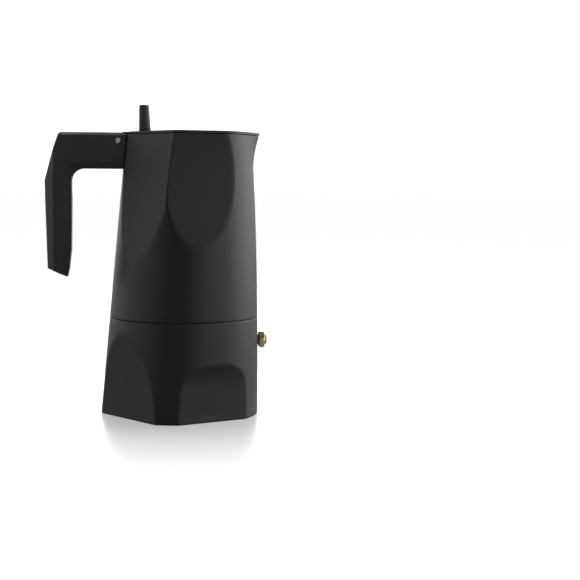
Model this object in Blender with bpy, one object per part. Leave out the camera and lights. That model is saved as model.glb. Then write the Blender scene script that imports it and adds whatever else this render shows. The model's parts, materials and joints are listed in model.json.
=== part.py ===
"""Stovetop moka pot: a round, leaning body cut by scooped facets, a bar handle, a flat hinged lid.

+X points to the spout, -X to the handle, +Z up. The origin is the middle of the seam thread,
on the surface that the pot stands on. Shapes are worked out in millimetres and stored in metres.
"""

import math

import bmesh
import bpy
from mathutils import Vector

MM = 0.001
GAP = 0.3  # clearance kept between any two pieces

# Body: straight back, front that leans in a little more with height
BACK_AT_BASE, BACK_LEAN = -62.4, 0.0905
FRONT_AT_BASE, FRONT_FALL, FRONT_POWER = 55.9, 8.04e-6, 2.5
SEAM = 73.5  # where boiler and upper chamber meet
RIM = 209.6  # top of the upper chamber's wall
WALL = 3.6
FLOOR = 4.0
EDGE_SOFTNESS = 1.2  # width over which a facet's edge is rounded
BASE_FILLET = 1.0

# Facets: azimuth in degrees, least distance from the axis, height of that line, and the scoop:
# the facet lies 1 mm further out at this distance above or below the line, by the power after it
BOILER_FACETS = (
    (-142.2, 51.1, 8.9, 22.9, 2),
    (-62.2, 50.4, 15.0, 17.5, 4),
    (70.7, 49.0, 8.3, 18.9, 2),
    (138.0, 49.3, 10.0, 14.9, 2),
)
CHAMBER_FACETS = (
    (-135.4, 34.9, 250.7, 32.0, 2),
    (-79.2, 42.3, 190.8, 19.5, 2),
    (47.3, 43.3, 187.0, 25.2, 2),
    (134.4, 36.2, 206.3, 22.3, 2),
)
# Columns of the surface mesh: in each facet, then in each stretch between facets, in order
FACET_COLUMNS = 4
BOILER_STRIPS = (4, 12, 4, 4)
CHAMBER_STRIPS = (3, 14, 4, 7)
LEAST_FACET_ANGLE = 17.0
LEAST_COLUMN = 0.3
LEAST_FACING = 0.3  # a facet is only met by rays that face it more than this

# Spout
SPOUT_REACH = 5.4
SPOUT_START = 184.0
SPOUT_POWER = 1.7
SPOUT_HALF_ANGLE = 30.0
SPOUT_SIDE_POWER = 2.1
SPOUT_TIP_ROUNDING = 2.0

# Screw joint between boiler and chamber
PITCH = 4.0
NECK_TOP = 83.4
NECK_BORE = 35.0
NECK_ROOT = 40.0
SHOULDER_LOW, CAVITY_TOP = SEAM - 3.0, SEAM - 11.0  # the bore widens between these heights
THREAD_DEPTH = 1.3
THREAD_PLAY = 0.45
THREAD_FADE = 1.2
THREAD_STEP = 0.6

# Seal and filter stack
FUNNEL_FLANGE_R, FUNNEL_R, FUNNEL_WALL = 38.2, 34.0, 0.8
FUNNEL_FLOOR, CONE_END, STEM_END, STEM_R = 57.0, 41.0, 6.5, 4.6
SCREEN_THICK, SCREEN_LEDGE = 0.7, 1.2
GASKET_IN, GASKET_OUT, GASKET_THICK, GASKET_STEP = 29.5, 38.2, 3.4, 1.0
PLATE_R, PLATE_THICK = 34.5, 0.8
HOLE_R, HOLE_SIDES, HOLE_RINGS = 1.1, 8, ((0.0, 1), (9.0, 6), (18.0, 12))  # ring radius, holes in it

# Upper chamber inside
CHAMBER_FLOOR = 92.8
RELIEF = (46.0, 51.0, 84.0)  # inner and outer radius and top of the pocket round the thread
COLUMN_HOLE = 6.3
COLUMN_BASE_R, COLUMN_TOP_R, COLUMN_BORE, COLUMN_TOP = 7.6, 5.4, 3.4, 188.0

# Lid, hinge and knob
LID_BOTTOM, LID_TOP = 209.9, 211.8
LID_OVERHANG = 0.5
LID_BACK = -40.6
LID_RING_INSET, LID_RING_THICK, LID_RING_DEPTH = 5.4, 1.5, 2.6
PIN_X, PIN_Z, PIN_R, PIN_HALF = -49.0, 205.3, 1.75, 9.8
EAR_IN, EAR_OUT, EAR_R = 2.9, 4.8, 4.0
KNOB_X, KNOB_TOP = -29.3, 231.9
KNOB_BASE_R, KNOB_TOP_R, KNOB_LEAN = 4.45, 3.6, 0.6
KNOB_FILLET = 0.6
KNOB_HOLE_R, KNOB_HOLE_DEPTH = 1.8, 11.0
KNOB_SCREW_R, KNOB_SCREW_HEAD_R, KNOB_SCREW_HEAD = 1.5, 2.9, 1.8
WASHER_R, WASHER_THICK = 4.0, 0.7

# Handle
HANDLE_HALF = 10.0
HANDLE_TOP = 211.3
HANDLE_CLEAR = 0.9  # between handle and body
HANDLE_FRONT = -38.0  # the blank runs this far forward before the body is cut out of it
HANDLE_FULL_HALF = 4.8  # half width of the side faces between the bevels
SLOT_HALF, SLOT_BACK, SLOT_FLOOR = 5.1, -57.6, 189.0
LUG_HALF, LUG_R, LUG_BACK = 2.6, 3.9, -53.6
HANDLE_ARM_LOW = 184.2
HANDLE_SCREW_X, HANDLE_SCREW_R, HANDLE_SCREW_HEAD_R = -50.1, 1.5, 2.5
HANDLE_SCREW_SEAT, HANDLE_SCREW_TOP = 186.6, 198.0

# Safety valve, along +X
VALVE_Z = 55.8
SHANK_R, SHANK_IN = 4.0, 49.4
HEX_FLAT, HEX_START, HEX_END = 6.0, 57.2, 61.1
VALVE_END, VALVE_END_R = 62.7, 3.75
VALVE_BORE, VALVE_SEAT = 2.7, 1.5
SPRING_START, SPRING_END, SPRING_R, SPRING_WIRE_R = 2.1, 9.2, 1.75, 0.28
SPRING_TURNS, SPRING_PER_TURN = 6, 12


# ---------------------------------------------------------------- mesh helpers


def material(name, colour, roughness, metallic):
    made = bpy.data.materials.new(name)
    made.use_nodes = True
    shader = made.node_tree.nodes["Principled BSDF"]
    shader.inputs["Base Color"].default_value = (*colour, 1.0)
    shader.inputs["Roughness"].default_value = roughness
    shader.inputs["Metallic"].default_value = metallic
    return made


def piece(name, points, faces, look, origin=(0, 0, 0), sharp=35):
    """One closed object from points in millimetres, its own origin at the point given."""
    mesh = bpy.data.meshes.new(name)
    start = Vector(origin)
    mesh.from_pydata([(Vector(p) - start) * MM for p in points], [], faces)
    work = bmesh.new()
    work.from_mesh(mesh)
    bmesh.ops.remove_doubles(work, verts=work.verts, dist=1e-6)
    bmesh.ops.dissolve_degenerate(work, edges=work.edges, dist=1e-6)
    bmesh.ops.recalc_face_normals(work, faces=work.faces)
    if work.calc_volume(signed=True) < 0:
        bmesh.ops.reverse_faces(work, faces=work.faces)
    work.to_mesh(mesh)
    work.free()
    mesh.shade_smooth()
    mesh.set_sharp_from_angle(angle=math.radians(sharp))
    made = bpy.data.objects.new(name, mesh)
    made.location = start * MM
    bpy.context.scene.collection.objects.link(made)
    if look is not None:
        mesh.materials.append(look)
    return made


def loft(rings, closed=False):
    """Faces between equal rings of points; the first and last ring are capped unless closed."""
    count = len(rings[0])
    points = [p for ring in rings for p in ring]
    faces = []
    pairs = len(rings) if closed else len(rings) - 1
    for i in range(pairs):
        low, high = i * count, (i + 1) % len(rings) * count
        for j in range(count):
            k = (j + 1) % count
            faces.append((low + j, low + k, high + k, high + j))
    if not closed:
        faces.append(tuple(reversed(range(count))))
        faces.append(tuple(range(len(points) - count, len(points))))
    return points, faces


def ring(radius, z, count, centre=(0.0, 0.0)):
    """A level circle of points."""
    turn = 2 * math.pi / count
    return [
        (centre[0] + radius * math.cos(i * turn), centre[1] + radius * math.sin(i * turn), z)
        for i in range(count)
    ]


def turned(profile, count, closed=False, centre=(0.0, 0.0)):
    """A body turned round a vertical axis from (radius, z) points."""
    return loft([ring(r, z, count, centre) for r, z in profile], closed)


def along_x(points, x, z):
    """Turns a body made round +Z so that it lies along +X, its foot at (x, 0, z)."""
    return [(x + p[2], p[1], z + p[0]) for p in points]


def along_y(points, x, z):
    """Turns a body made round +Z so that it lies along +Y, through (x, 0, z)."""
    return [(x + p[1], p[2], z + p[0]) for p in points]


def prism(outline, low, high):
    """An (x, z) outline drawn out along Y."""
    return loft([[(x, y, z) for x, z in outline] for y in (low, high)])


def box(low, high):
    outline = [(low[0], low[2]), (high[0], low[2]), (high[0], high[2]), (low[0], high[2])]
    return prism(outline, low[1], high[1])


def arc(x, z, radius, start, end, count):
    """Points of an arc in the X-Z plane, angles in degrees from +X towards +Z."""
    angles = [math.radians(start + (end - start) * i / count) for i in range(count + 1)]
    return [(x + radius * math.cos(a), z + radius * math.sin(a)) for a in angles]


def tool(name, shape, origin=(0, 0, 0)):
    """A helper body for a Boolean, left out of the build."""
    made = piece(name, *shape, None, origin)
    made.hide_render = True
    made.display_type = "WIRE"
    return made


def boolean(target, other, operation="DIFFERENCE"):
    modifier = target.modifiers.new(other.name, "BOOLEAN")
    modifier.operation = operation
    modifier.solver = "EXACT"
    modifier.object = other


def cylinder_y(name, x, z, radius, half, count=20):
    points, faces = turned(((radius, -half), (radius, half)), count)
    return tool(name, (along_y(points, x, z), faces))


def cylinder_z(name, x, radius, low, high, count=20):
    return tool(name, turned(((radius, low), (radius, high)), count, centre=(x, 0.0)))


# ---------------------------------------------------------------- outer form


def circle_at(z):
    """Centre x and radius of the round body at height z."""
    back = BACK_AT_BASE + BACK_LEAN * z
    front = FRONT_AT_BASE - FRONT_FALL * max(z, 0.0) ** FRONT_POWER
    return (back + front) / 2, (front - back) / 2


def facet_distance(facet, z):
    """How far a facet lies from the axis at height z."""
    _, least, height, scoop, power = facet
    return least + (abs(z - height) / scoop) ** power


def soft_min(a, b):
    """The smaller of two radii, rounded where they cross."""
    blend = max(EDGE_SOFTNESS - abs(a - b), 0.0) / EDGE_SOFTNESS
    return min(a, b) - blend * blend * EDGE_SOFTNESS / 4


def spout_bulge(angle, z):
    """How far the spout stands out of the body; angle in radians from +X."""
    if z <= SPOUT_START:
        return 0.0
    off = math.degrees(math.atan2(math.sin(angle), math.cos(angle)))
    off = math.hypot(off, SPOUT_TIP_ROUNDING) - SPOUT_TIP_ROUNDING
    side = max(0.0, 1.0 - off / SPOUT_HALF_ANGLE) ** SPOUT_SIDE_POWER
    rise = (z - SPOUT_START) / (RIM - SPOUT_START)
    return SPOUT_REACH * rise**SPOUT_POWER * side


def outer_radius(angle, z, facets):
    """Distance of the outer surface from the Z axis."""
    centre, radius = circle_at(z)
    reach = centre * math.cos(angle) + math.sqrt(radius**2 - (centre * math.sin(angle)) ** 2)
    for facet in facets:
        facing = math.cos(angle - math.radians(facet[0]))
        if facing > LEAST_FACING:
            reach = soft_min(reach, facet_distance(facet, z) / facing)
    return reach + spout_bulge(angle, z)


def facet_edges(facet, z):
    """The two angles at which a facet's edges meet the round body at height z."""
    azimuth = math.radians(facet[0])
    centre, radius = circle_at(z)
    apart = (facet_distance(facet, z) - centre * math.cos(azimuth)) / radius
    half = max(math.acos(max(-1.0, min(1.0, apart))), math.radians(LEAST_FACET_ANGLE))
    ends = []
    for side in (-half, half):
        x = centre + radius * math.cos(azimuth + side)
        y = radius * math.sin(azimuth + side)
        turn = math.atan2(y, x) - azimuth
        ends.append(azimuth + math.atan2(math.sin(turn), math.cos(turn)))
    return ends


def shared_edge(first, second, z):
    """The angle at which two neighbouring facets meet."""
    a, b = facet_distance(first, z), facet_distance(second, z)
    p, q = math.radians(first[0]), math.radians(second[0])
    along = math.atan2(b * math.cos(p) - a * math.cos(q), a * math.sin(q) - b * math.sin(p))
    middle = math.atan2(math.sin(p) + math.sin(q), math.cos(p) + math.cos(q))
    if math.cos(along - middle) < 0:
        along += math.pi
    turn = along - p
    return p + math.atan2(math.sin(turn), math.cos(turn))


def column_angles(z, facets, strips):
    """Angles of the mesh columns at height z: they follow the facets' edges."""
    spans = [facet_edges(facet, z) for facet in facets]
    for i, facet in enumerate(facets):
        after = (i + 1) % len(facets)
        wrap = 2 * math.pi if after == 0 else 0.0
        end, start = spans[i][1], spans[after][0] + wrap
        room = math.radians(LEAST_COLUMN) * strips[i]
        if start - end < room:
            meet = shared_edge(facet, facets[after], z) if start < end else (start + end) / 2
            spans[i][1] = meet - room / 2
            spans[after][0] = meet + room / 2 - wrap
    angles = []
    for i, (start, end) in enumerate(spans):
        following = spans[(i + 1) % len(spans)][0]
        if i == len(spans) - 1:
            following += 2 * math.pi
        angles += [start + (end - start) * n / FACET_COLUMNS for n in range(FACET_COLUMNS)]
        angles += [end + (following - end) * n / strips[i] for n in range(strips[i])]
    return angles


def body_ring(z, facets, strips, inset=0.0, shape_z=None):
    """One level ring of the outer form, drawn in by inset."""
    shape_z = z if shape_z is None else shape_z
    points = []
    for angle in column_angles(shape_z, facets, strips):
        radius = outer_radius(angle, shape_z, facets) - inset
        points.append((radius * math.cos(angle), radius * math.sin(angle), z))
    return points


def even_angles(angles):
    """As many angles, evenly spaced, each as near its old place as that allows."""
    step = 2 * math.pi / len(angles)
    start = sum(angle - i * step for i, angle in enumerate(angles)) / len(angles)
    return [start + i * step for i in range(len(angles))]


def circle_ring(angles, radius, z):
    return [(radius * math.cos(a), radius * math.sin(a), z) for a in angles]


def steps(low, high, count):
    return [low + (high - low) * i / count for i in range(count + 1)]


def thread_radius(angle, z, root):
    """A rounded right-hand thread: the surface's distance from the axis."""
    phase = 2 * math.pi * z / PITCH - angle
    return root + THREAD_DEPTH * (0.5 + 0.5 * math.cos(phase))


def thread_rings(angles, low, high, root, fading):
    """Level rings up a threaded wall; a fading thread runs out at both ends."""
    made = []
    for z in steps(low, high, round((high - low) / THREAD_STEP)):
        fade = min(1.0, (z - low) / THREAD_FADE, (high - z) / THREAD_FADE) if fading else 1.0
        points = []
        for angle in angles:
            radius = root + (thread_radius(angle, z, root) - root) * fade
            points.append((radius * math.cos(angle), radius * math.sin(angle), z))
        made.append(points)
    return made


# ---------------------------------------------------------------- boiler and valve


def make_boiler(look):
    args = (BOILER_FACETS, BOILER_STRIPS)
    top = SEAM - GAP / 2
    angles = even_angles(column_angles(top, *args))
    rings = [
        body_ring(0.0, *args, BASE_FILLET),
        body_ring(BASE_FILLET * 0.3, *args, BASE_FILLET * 0.3),
    ]
    rings += [body_ring(z, *args) for z in steps(BASE_FILLET, top - 0.5, 13)]
    rings.append(body_ring(top, *args, 0.5))
    rings += thread_rings(angles, top, NECK_TOP - 0.6, NECK_ROOT, True)
    rings.append(circle_ring(angles, NECK_ROOT - 0.6, NECK_TOP))
    rings.append(circle_ring(angles, NECK_BORE, NECK_TOP))
    rings.append(circle_ring(angles, NECK_BORE, SHOULDER_LOW))
    rings += [body_ring(z, *args, WALL) for z in reversed(steps(FLOOR + 1.5, CAVITY_TOP, 6))]
    rings.append(body_ring(FLOOR, *args, WALL + 1.5, FLOOR + 1.5))
    made = piece("boiler", *loft(rings), look)
    points, faces = turned(((SHANK_R + GAP, 0.0), (SHANK_R + GAP, 20.0)), 24)
    points = along_x(points, SHANK_IN - 4.0, VALVE_Z)
    boolean(made, tool("valve_hole_tool", (points, faces)))
    return made


def hexagon(half_flat, z):
    """Six points round +Z, flats across X, so that the laid hexagon has level flats."""
    corner = half_flat / math.cos(math.pi / 6)
    return [
        (corner * math.cos(a), corner * math.sin(a), z)
        for a in (math.pi / 6 + i * math.pi / 3 for i in range(6))
    ]


def resampled(corners, count):
    """A polygon with extra points on its sides."""
    each = count // len(corners)
    points = []
    for i, p in enumerate(corners):
        q = corners[(i + 1) % len(corners)]
        points += [tuple(a + (b - a) * n / each for a, b in zip(p, q)) for n in range(each)]
    return points


def round_ring(radius, z, count=24):
    """A circle whose first point lines up with a hexagon's first corner."""
    return [
        (radius * math.cos(a), radius * math.sin(a), z)
        for a in (math.pi / 6 + i * 2 * math.pi / count for i in range(count))
    ]


def make_valve(brass, fibre, steel, rubber):
    foot = (SHANK_IN, 0.0, VALVE_Z)
    length = VALVE_END - SHANK_IN
    hex_from, hex_to = HEX_START - SHANK_IN, HEX_END - SHANK_IN
    chamfer = 0.5
    rings = [
        round_ring(VALVE_SEAT, 0.0),
        round_ring(SHANK_R - 0.4, 0.0),
        round_ring(SHANK_R, 0.5),
        round_ring(SHANK_R, hex_from),
        resampled(hexagon(HEX_FLAT - chamfer / 2, hex_from), 24),
        resampled(hexagon(HEX_FLAT, hex_from + chamfer), 24),
        resampled(hexagon(HEX_FLAT, hex_to - chamfer), 24),
        resampled(hexagon(HEX_FLAT - chamfer / 2, hex_to), 24),
        round_ring(VALVE_END_R, hex_to),
        round_ring(VALVE_END_R, length - 0.3),
        round_ring(VALVE_END_R - 0.3, length),
        round_ring(VALVE_BORE, length),
        round_ring(VALVE_BORE, 1.6),
        round_ring(VALVE_SEAT, 1.2),
    ]
    points, faces = loft(rings, closed=True)
    piece("valve_body", along_x(points, SHANK_IN, VALVE_Z), faces, brass, foot)

    washer = ((SHANK_R + GAP, 0.0), (5.4, 0.0), (5.4, 0.6), (SHANK_R + GAP, 0.6))
    points, faces = turned(washer, 24, closed=True)
    piece("valve_washer", along_x(points, HEX_START - 0.9, VALVE_Z), faces, fibre, foot)

    retainer = ((1.3, 0.0), (VALVE_BORE - GAP, 0.0), (VALVE_BORE - GAP, 1.0), (1.3, 1.0))
    points, faces = turned(retainer, 20, closed=True)
    piece("valve_retainer", along_x(points, VALVE_END - 1.4, VALVE_Z), faces, brass, foot)

    seat = SHANK_IN + 1.9
    head = ((1.9, 0.6), (2.3, 1.0), (2.3, 1.6), (1.0, 1.6), (1.0, 9.2), (0.8, 9.4))
    points, faces = turned(head, 20)
    piece("valve_plunger", along_x(points, seat, VALVE_Z), faces, steel, (seat, 0.0, VALVE_Z))
    seal = ((0.7, 0.0), (2.2, 0.0), (2.2, 0.3), (0.7, 0.3))
    points, faces = turned(seal, 20, closed=True)
    piece("valve_seal", along_x(points, seat, VALVE_Z), faces, rubber, (seat, 0.0, VALVE_Z))

    count = SPRING_TURNS * SPRING_PER_TURN
    section = [math.radians(60 * k) for k in range(6)]
    rings = []
    for i in range(count + 1):
        turn = 2 * math.pi * i / SPRING_PER_TURN
        rise = SPRING_START + (SPRING_END - SPRING_START) * i / count
        ring_points = []
        for a in section:
            reach = SPRING_R + SPRING_WIRE_R * math.cos(a)
            height = rise + SPRING_WIRE_R * math.sin(a)
            ring_points.append((reach * math.cos(turn), reach * math.sin(turn), height))
        rings.append(ring_points)
    points, faces = loft(rings)
    piece("valve_spring", along_x(points, seat, VALVE_Z), faces, steel, (seat, 0.0, VALVE_Z))


# ---------------------------------------------------------------- funnel, seal and filter


def perforated(name, radius, low, thick, look):
    """A flat disc with rings of holes, its outer edge round."""
    made = piece(name, *turned(((radius, low), (radius, low + thick)), 40), look, (0, 0, low))
    drills = []
    for distance, count in HOLE_RINGS:
        for i in range(count):
            turn = 2 * math.pi * i / count
            centre = (distance * math.cos(turn), distance * math.sin(turn))
            ends = ((HOLE_R, low - 1.0), (HOLE_R, low + thick + 1.0))
            drills.append(turned(ends, HOLE_SIDES, centre=centre))
    points, faces = [], []
    for more_points, more_faces in drills:
        start = len(points)
        points += more_points
        faces += [tuple(start + i for i in face) for face in more_faces]
    boolean(made, tool(f"{name}_holes_tool", (points, faces)))
    return made


def make_funnel(metal):
    low = NECK_TOP + GAP
    profile = (
        (STEM_R, STEM_END),
        (STEM_R, CONE_END),
        (FUNNEL_R, FUNNEL_FLOOR - 3.0),
        (FUNNEL_R, low),
        (FUNNEL_FLANGE_R, low),
        (FUNNEL_FLANGE_R, low + FUNNEL_WALL),
        (FUNNEL_R - FUNNEL_WALL, low + FUNNEL_WALL),
        (FUNNEL_R - FUNNEL_WALL, FUNNEL_FLOOR),
        (FUNNEL_R - FUNNEL_WALL - SCREEN_LEDGE, FUNNEL_FLOOR),
        (FUNNEL_R - FUNNEL_WALL - SCREEN_LEDGE, FUNNEL_FLOOR - 2.4),
        (STEM_R - FUNNEL_WALL, CONE_END + 0.3),
        (STEM_R - FUNNEL_WALL, STEM_END),
    )
    piece("funnel_basket", *turned(profile, 40, closed=True), metal, (0, 0, low))
    screen_r = FUNNEL_R - FUNNEL_WALL - GAP
    perforated("funnel_screen", screen_r, FUNNEL_FLOOR + GAP, SCREEN_THICK, metal)
    return low + FUNNEL_WALL


def make_seal(low, rubber, metal):
    """Gasket and filter plate above the funnel; returns the height just above the plate."""
    base = low + GAP
    profile = (
        (GASKET_IN, base),
        (GASKET_OUT, base),
        (GASKET_OUT, base + GASKET_THICK),
        (PLATE_R + GAP, base + GASKET_THICK),
        (PLATE_R + GAP, base + GASKET_THICK - GASKET_STEP),
        (GASKET_IN, base + GASKET_THICK - GASKET_STEP),
    )
    piece("gasket", *turned(profile, 40, closed=True), rubber, (0, 0, base))
    plate = base + GASKET_THICK - GASKET_STEP + GAP
    perforated("filter_plate", PLATE_R, plate, PLATE_THICK, metal)
    return max(plate + PLATE_THICK, base + GASKET_THICK)


# ---------------------------------------------------------------- upper chamber


def make_chamber(seal_top, look):
    args = (CHAMBER_FACETS, CHAMBER_STRIPS)
    bottom = SEAM + GAP / 2
    angles = even_angles(column_angles(bottom, *args))
    female_root = NECK_ROOT + THREAD_PLAY
    seat = NECK_TOP + GAP * 2
    recess = GASKET_OUT + 0.7
    under = seal_top + GAP
    pocket_in, pocket_out, pocket_top = RELIEF
    rings = [body_ring(bottom, *args, 0.4)]
    rings += [body_ring(z, *args) for z in steps(bottom + 0.4, RIM - 12.0, 20)]
    rings += [body_ring(z, *args) for z in (RIM - 8.0, RIM - 4.5, RIM - 2.0, RIM)]
    rings.append(body_ring(RIM, *args, WALL - 0.8))
    rings += [body_ring(z, *args, WALL) for z in reversed(steps(CHAMBER_FLOOR + 3.0, RIM - 8.0, 11))]
    rings.append(body_ring(CHAMBER_FLOOR, *args, WALL + 3.0, CHAMBER_FLOOR + 3.0))
    rings.append(circle_ring(angles, COLUMN_HOLE, CHAMBER_FLOOR))
    rings.append(circle_ring(angles, COLUMN_HOLE, under))
    rings.append(circle_ring(angles, recess, under))
    rings.append(circle_ring(angles, recess, seat))
    rings.append(circle_ring(angles, female_root + THREAD_DEPTH, seat))
    rings += reversed(thread_rings(angles, bottom, seat - 0.5, female_root, False))
    rings.append(circle_ring(angles, pocket_in, bottom))
    rings.append(circle_ring(angles, pocket_in, pocket_top))
    rings.append(circle_ring(angles, pocket_out, pocket_top))
    rings.append(circle_ring(angles, pocket_out, bottom))
    made = piece("upper_chamber", *loft(rings, closed=True), look)

    front = -41.5
    outline = [(front, SLOT_FLOOR + GAP), (front, PIN_Z + LUG_R - 0.6)]
    outline += arc(PIN_X, PIN_Z, LUG_R, 80, 200, 8)
    outline += [(LUG_BACK, SLOT_FLOOR + GAP)]
    lug = tool("lug_tool", prism(outline, -LUG_HALF, LUG_HALF), (PIN_X, 0, PIN_Z))
    boolean(lug, cylinder_y("lug_pin_hole_tool", PIN_X, PIN_Z, PIN_R + GAP, LUG_HALF + 2))
    screw_hole = (HANDLE_SCREW_X, HANDLE_SCREW_R + GAP, SLOT_FLOOR - 2, HANDLE_SCREW_TOP + GAP)
    boolean(lug, cylinder_z("lug_screw_hole_tool", *screw_hole))
    boolean(made, lug, "UNION")
    return made


def make_column(look):
    foot = CHAMBER_FLOOR + GAP
    profile = (
        (COLUMN_HOLE - GAP, foot - 3.0),
        (COLUMN_HOLE - GAP, foot),
        (COLUMN_BASE_R + 2.0, foot),
        (COLUMN_BASE_R + 2.0, foot + 1.2),
        (COLUMN_BASE_R, foot + 3.0),
        (COLUMN_TOP_R, COLUMN_TOP - 1.0),
        (COLUMN_TOP_R - 0.6, COLUMN_TOP),
        (COLUMN_BORE, COLUMN_TOP),
        (COLUMN_BORE, foot + 4.0),
        (COLUMN_HOLE - GAP - 1.2, foot - 3.0),
    )
    piece("coffee_column", *turned(profile, 28, closed=True), look, (0, 0, foot))


# ---------------------------------------------------------------- lid, knob and hinge


def rim_outline(inset, z):
    """The rim's outline at height z, cut straight across at the handle."""
    points = body_ring(z, CHAMBER_FACETS, CHAMBER_STRIPS, inset, RIM)
    return [(max(x, LID_BACK + max(inset, 0.0)), y, h) for x, y, h in points]


def make_lid(look):
    ring_foot = LID_BOTTOM - LID_RING_DEPTH
    inner = LID_RING_INSET + LID_RING_THICK
    edge = LID_OVERHANG
    rings = [
        rim_outline(inner, LID_BOTTOM),
        rim_outline(inner, ring_foot),
        rim_outline(LID_RING_INSET, ring_foot),
        rim_outline(LID_RING_INSET, LID_BOTTOM),
        rim_outline(-edge, LID_BOTTOM),
        rim_outline(-edge, LID_TOP - 0.4),
        rim_outline(-edge + 0.4, LID_TOP),
    ]
    pivot = (PIN_X, 0, PIN_Z)
    made = piece("lid", *loft(rings), look, pivot)
    front, behind_rim = LID_BACK + 3.0, -43.9
    outline = [(front, LID_TOP - 0.1), (PIN_X + 3.4, LID_TOP - 0.1)]
    outline += arc(PIN_X, PIN_Z, EAR_R, 70, 330, 14)
    outline += [(behind_rim, PIN_Z - 1.0), (behind_rim, LID_BOTTOM + 0.1), (front, LID_BOTTOM + 0.1)]
    for side in (-1, 1):
        low, high = sorted((side * EAR_IN, side * EAR_OUT))
        ear = tool(f"lid_ear_tool_{high:.0f}", prism(outline, low, high), pivot)
        boolean(made, ear, "UNION")
    boolean(made, cylinder_y("lid_pin_hole_tool", PIN_X, PIN_Z, PIN_R + GAP, EAR_OUT + 2))
    hole = (KNOB_X, KNOB_SCREW_R + GAP, LID_BOTTOM - 2, LID_TOP + 2)
    boolean(made, cylinder_z("lid_screw_hole_tool", *hole))
    return made


def make_knob(black, steel):
    base = LID_TOP + GAP
    rings = []
    levels = [(base, KNOB_BASE_R), (base + 0.4, KNOB_BASE_R)]
    levels += [(z, None) for z in steps(base + 5.0, KNOB_TOP - KNOB_FILLET, 3)]
    for z, radius in levels:
        t = (z - base) / (KNOB_TOP - base)
        radius = radius or KNOB_BASE_R + (KNOB_TOP_R - KNOB_BASE_R) * t
        rings.append(ring(radius, z, 28, (KNOB_X - KNOB_LEAN * t, 0.0)))
    rings.append(ring(KNOB_TOP_R - KNOB_FILLET, KNOB_TOP, 28, (KNOB_X - KNOB_LEAN, 0.0)))
    foot = (KNOB_X, 0, base)
    made = piece("lid_knob", *loft(rings), black, foot)
    hole = (KNOB_X, KNOB_HOLE_R, base - 1, base + KNOB_HOLE_DEPTH)
    boolean(made, cylinder_z("knob_hole_tool", *hole))

    washer_top = LID_BOTTOM - GAP
    washer = (
        (KNOB_HOLE_R, washer_top - WASHER_THICK),
        (WASHER_R, washer_top - WASHER_THICK),
        (WASHER_R, washer_top),
        (KNOB_HOLE_R, washer_top),
    )
    piece("knob_washer", *turned(washer, 24, closed=True, centre=(KNOB_X, 0)), steel, foot)
    head_top = washer_top - WASHER_THICK - GAP
    screw = (
        (KNOB_SCREW_HEAD_R - 0.7, head_top - KNOB_SCREW_HEAD),
        (KNOB_SCREW_HEAD_R, head_top - KNOB_SCREW_HEAD + 0.8),
        (KNOB_SCREW_HEAD_R, head_top),
        (KNOB_SCREW_R, head_top),
        (KNOB_SCREW_R, base + KNOB_HOLE_DEPTH - 1.0),
    )
    piece("knob_screw", *turned(screw, 24, centre=(KNOB_X, 0)), steel, foot)


def make_pin(steel):
    chamfer = 0.3
    profile = (
        (PIN_R - chamfer, -PIN_HALF),
        (PIN_R, chamfer - PIN_HALF),
        (PIN_R, PIN_HALF - chamfer),
        (PIN_R - chamfer, PIN_HALF),
    )
    points, faces = turned(profile, 24)
    piece("hinge_pin", along_y(points, PIN_X, PIN_Z), faces, steel, (PIN_X, 0, PIN_Z))


# ---------------------------------------------------------------- handle


def body_tool():
    """The body swollen by the handle's clearance, carried straight up past the rim."""
    args = (CHAMBER_FACETS, CHAMBER_STRIPS, -HANDLE_CLEAR)
    rings = [body_ring(z, *args) for z in steps(HANDLE_ARM_LOW - 6.0, RIM, 6)]
    rings.append(body_ring(HANDLE_TOP + 5.0, *args, RIM))
    return tool("handle_body_tool", loft(rings))


def handle_outlines():
    """Matching side outlines: the full one, and the one drawn in by the bevels."""
    knee, tip, heel = 175.2, 103.6, 110.0
    top, flat_top = HANDLE_TOP, HANDLE_TOP - 2.2
    low, flat_low = HANDLE_ARM_LOW, HANDLE_ARM_LOW + 5.0
    full = [(HANDLE_FRONT, top), *arc(-90.4, top - 3.7, 3.7, 90, 163, 3)]
    flat = [(HANDLE_FRONT, flat_top), *arc(-90.4, flat_top - 2.8, 2.8, 90, 163, 3)]
    full += [(-97.0, 199.5), (-103.4, knee), (-101.5, heel), (-87.0, tip), (-85.6, heel)]
    flat += [(-96.2, 199.5), (-97.0, knee), (-96.8, 108.2), (-92.0, 106.0), (-91.8, heel)]
    full += [(-84.0, 124.0), (-83.6, 150.0), (-83.5, 166.0)]
    flat += [(-91.2, 124.0), (-90.2, 150.0), (-89.6, 166.0)]
    full += arc(-74.5, 175.2, 9.0, 180, 90, 4)
    flat += arc(-78.0, 177.6, 11.0, 180, 90, 4)
    full[-1], flat[-1] = (-74.5, low), (-76.5, flat_low)
    full.append((HANDLE_FRONT, low))
    flat.append((HANDLE_FRONT, flat_low))
    return full, flat


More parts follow.
